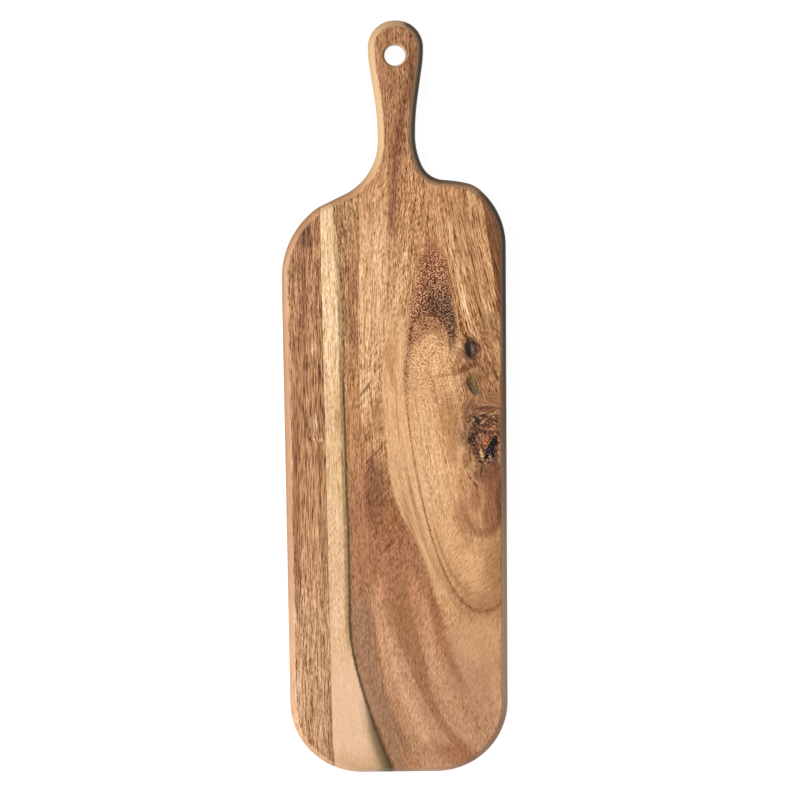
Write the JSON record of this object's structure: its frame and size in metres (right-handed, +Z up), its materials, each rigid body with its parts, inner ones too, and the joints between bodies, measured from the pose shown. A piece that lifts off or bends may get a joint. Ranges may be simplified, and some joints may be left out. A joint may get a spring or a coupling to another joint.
{
  "type": "serving board",
  "caption": "Long wooden paddle board for serving food, with sloping shoulders, a waisted handle and a hanging hole; planks glued edge to edge, with filled knots",
  "frame": {"origin": "middle of the board's overall length and width, on its underside", "axes": "+Z up out of the serving face, +Y along the board towards the tip of the handle, +X to the right seen from above with the handle away"},
  "size_m": [0.176, 0.6, 0.018],
  "materials": {
    "narrow_plank_wood": "oiled satin",
    "wide_plank_wood": "oiled satin",
    "cured_glue": "matt",
    "round_knot_wood": "oiled satin",
    "spike_knot_wood": "oiled satin",
    "branch_knot_wood": "oiled satin",
    "black_resin": "gloss"
  },
  "bodies": {
    "root": {"narrow_stave": "narrow_plank_wood", "wide_stave": "wide_plank_wood", "glue_line": "cured_glue", "round_knot": "round_knot_wood", "spike_knot": "spike_knot_wood", "branch_knot": "branch_knot_wood", "knot_resin": "black_resin"}
  },
  "joints": []
}
